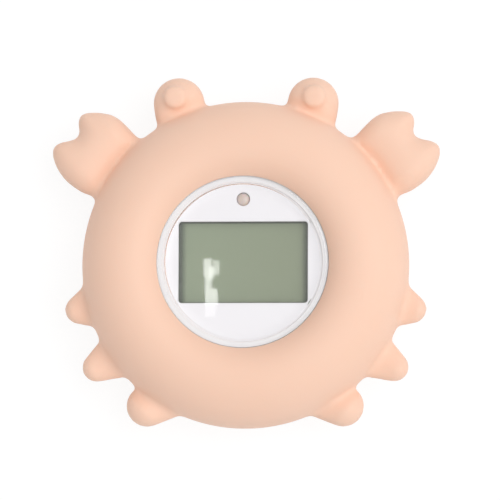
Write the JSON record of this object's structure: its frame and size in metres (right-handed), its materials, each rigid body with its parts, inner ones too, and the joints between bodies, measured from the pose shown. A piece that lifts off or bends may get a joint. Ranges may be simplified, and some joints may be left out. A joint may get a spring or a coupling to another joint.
{
  "type": "baby bath thermometer",
  "caption": "Floating bath thermometer for babies: a soft crab-shaped silicone cover over a round sealed float with a digital display under a clear lens.",
  "frame": {"origin": "bottom centre of the bounding box, on the surface that the flat back rests on", "axes": "+Z out of the display, +Y towards the crab's eyes, +X towards the claw on the right in a view of the display"},
  "size_m": [0.1004, 0.0908, 0.028],
  "materials": {
    "peach_silicone": "soft silicone, matt",
    "clear_lens": "clear acrylic, polished",
    "seal_rubber": "white rubber",
    "white_plate": "white, smooth",
    "white_housing": "white ABS",
    "screw_steel": "plain steel",
    "sensor_steel": "polished stainless steel",
    "dark_holder": "dark grey ABS",
    "lcd_face": "grey green polarising film",
    "display_glass": "clear glass",
    "zebra_rubber": "layered conductive rubber",
    "led_resin": "milky resin",
    "board": "green solder mask",
    "epoxy": "black epoxy",
    "component_ceramic": "fired ceramic",
    "nickel": "nickel plated"
  },
  "bodies": {
    "root": {"silicone_cover": "peach_silicone", "lens": "clear_lens", "lens_seal": "seal_rubber", "face_plate": "white_plate", "front_housing": "white_housing", "rear_housing": "white_housing", "housing_seal": "seal_rubber", "housing_screw_1": "screw_steel", "housing_screw_2": "screw_steel", "housing_screw_3": "screw_steel", "housing_screw_4": "screw_steel", "lcd_holder": "dark_holder", "lcd_front_polariser": "lcd_face", "lcd_front_glass": "display_glass", "lcd_rear_glass": "display_glass", "lcd_rear_polariser": "lcd_face", "zebra_connector": "zebra_rubber", "alarm_led": "led_resin", "circuit_board": "board", "board_screw_1": "screw_steel", "board_screw_2": "screw_steel", "board_screw_3": "screw_steel", "board_screw_4": "screw_steel", "main_chip": "epoxy", "crystal": "screw_steel", "capacitor_1": "component_ceramic", "capacitor_2": "component_ceramic", "resistor_1": "component_ceramic", "resistor_2": "component_ceramic", "battery_door": "white_housing", "battery_door_seal": "seal_rubber", "battery_door_screw_1": "screw_steel", "battery_door_screw_2": "screw_steel", "coin_cell": "screw_steel", "negative_contact": "nickel", "positive_contact": "nickel", "negative_pin": "nickel", "positive_pin": "nickel", "sensor_cap": "sensor_steel", "sensor_seal": "seal_rubber", "thermistor": "epoxy", "water_contact_1": "sensor_steel", "water_contact_2": "sensor_steel"}
  },
  "joints": []
}
